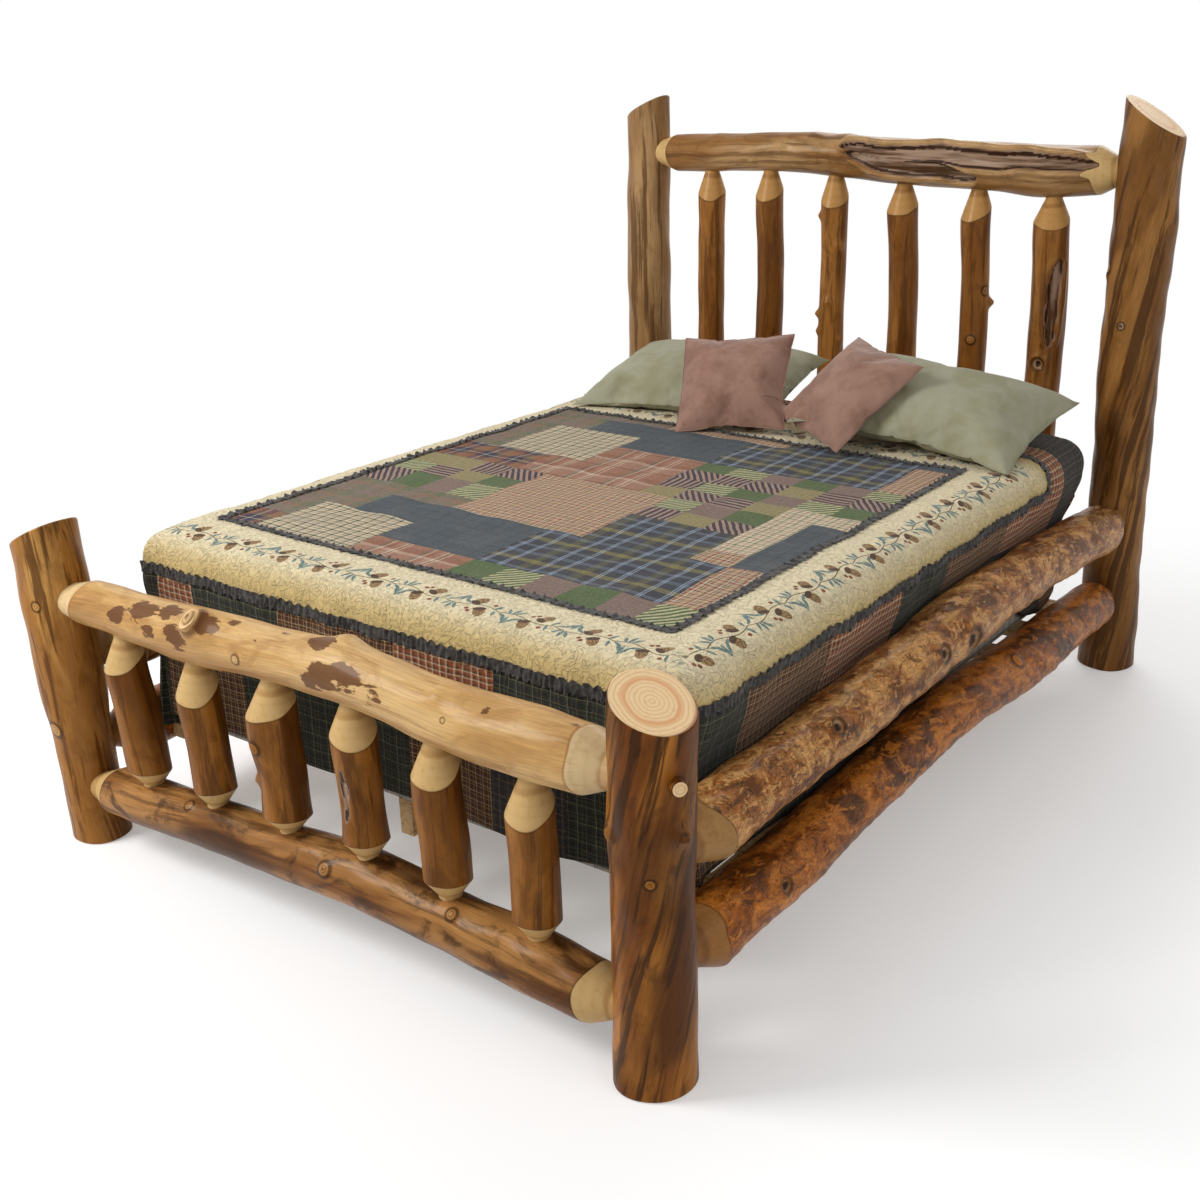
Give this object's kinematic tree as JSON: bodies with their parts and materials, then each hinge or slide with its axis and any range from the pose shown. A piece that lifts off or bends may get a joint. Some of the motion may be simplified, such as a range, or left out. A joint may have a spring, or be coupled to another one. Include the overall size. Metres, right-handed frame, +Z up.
{
  "type": "rustic log bed",
  "caption": "Rustic peeled-log bed: slanted-top posts, round-tenoned rails and spindles, slat deck, box spring, mattress, patchwork quilt and pillows.",
  "frame": {"origin": "on the floor at the middle of the bed", "axes": "+Z up, +Y towards the headboard, +X towards the right side as seen by someone standing at the foot"},
  "size_m": [1.8911, 2.5715, 1.6623],
  "materials": {
    "post_log": "peeled aspen, clear satin varnish, dark bark streaks",
    "spindle_log": "peeled aspen, clear satin varnish",
    "side_rail_log": "skip-peeled aspen with mottled inner bark, satin varnish",
    "top_rail_log": "pale peeled aspen with bark flecks, satin varnish",
    "bottom_rail_log": "peeled aspen, mottled, satin varnish",
    "sawn_timber": "planed softwood, bare",
    "zinc_hardware": "zinc-plated",
    "glide_plastic": "matte",
    "spring_ticking": "woven ticking",
    "mattress_knit": "quilted knit",
    "patchwork_quilt": "cotton patchwork with stipple quilting",
    "sage_cotton": "brushed cotton",
    "mauve_suede": "brushed suede cloth"
  },
  "bodies": {
    "root": {"box_spring": "spring_ticking", "centre_beam": "sawn_timber", "centre_leg_1": "sawn_timber", "centre_leg_2": "sawn_timber", "centre_leg_3": "sawn_timber", "footboard_bottom_rail": "bottom_rail_log", "footboard_post_left": "post_log", "footboard_post_right": "post_log", "footboard_spindle_1": "spindle_log", "footboard_spindle_2": "spindle_log", "footboard_spindle_3": "spindle_log", "footboard_spindle_4": "spindle_log", "footboard_spindle_5": "spindle_log", "footboard_spindle_6": "spindle_log", "footboard_top_rail": "top_rail_log", "headboard_bottom_rail": "bottom_rail_log", "headboard_post_left": "post_log", "headboard_post_right": "post_log", "headboard_spindle_1": "spindle_log", "headboard_spindle_2": "spindle_log", "headboard_spindle_3": "spindle_log", "headboard_spindle_4": "spindle_log", "headboard_spindle_5": "spindle_log", "headboard_spindle_6": "spindle_log", "headboard_top_rail": "top_rail_log", "ledger_screws": "zinc_hardware", "leg_bolts": "zinc_hardware", "leg_glide_1": "glide_plastic", "leg_glide_2": "glide_plastic", "leg_glide_3": "glide_plastic", "leg_nuts": "zinc_hardware", "mattress": "mattress_knit", "pillow_left": "sage_cotton", "pillow_right": "sage_cotton", "quilt": "patchwork_quilt", "side_rail_bolts": "zinc_hardware", "side_rail_lower_left": "side_rail_log", "side_rail_lower_right": "side_rail_log", "side_rail_upper_left": "side_rail_log", "side_rail_upper_right": "side_rail_log", "side_rail_washers": "zinc_hardware", "slat_1": "sawn_timber", "slat_10": "sawn_timber", "slat_2": "sawn_timber", "slat_3": "sawn_timber", "slat_4": "sawn_timber", "slat_5": "sawn_timber", "slat_6": "sawn_timber", "slat_7": "sawn_timber", "slat_8": "sawn_timber", "slat_9": "sawn_timber", "slat_ledger_left": "sawn_timber", "slat_ledger_right": "sawn_timber", "slat_screws": "zinc_hardware", "throw_pillow_left": "mauve_suede", "throw_pillow_right": "mauve_suede"}
  },
  "joints": []
}
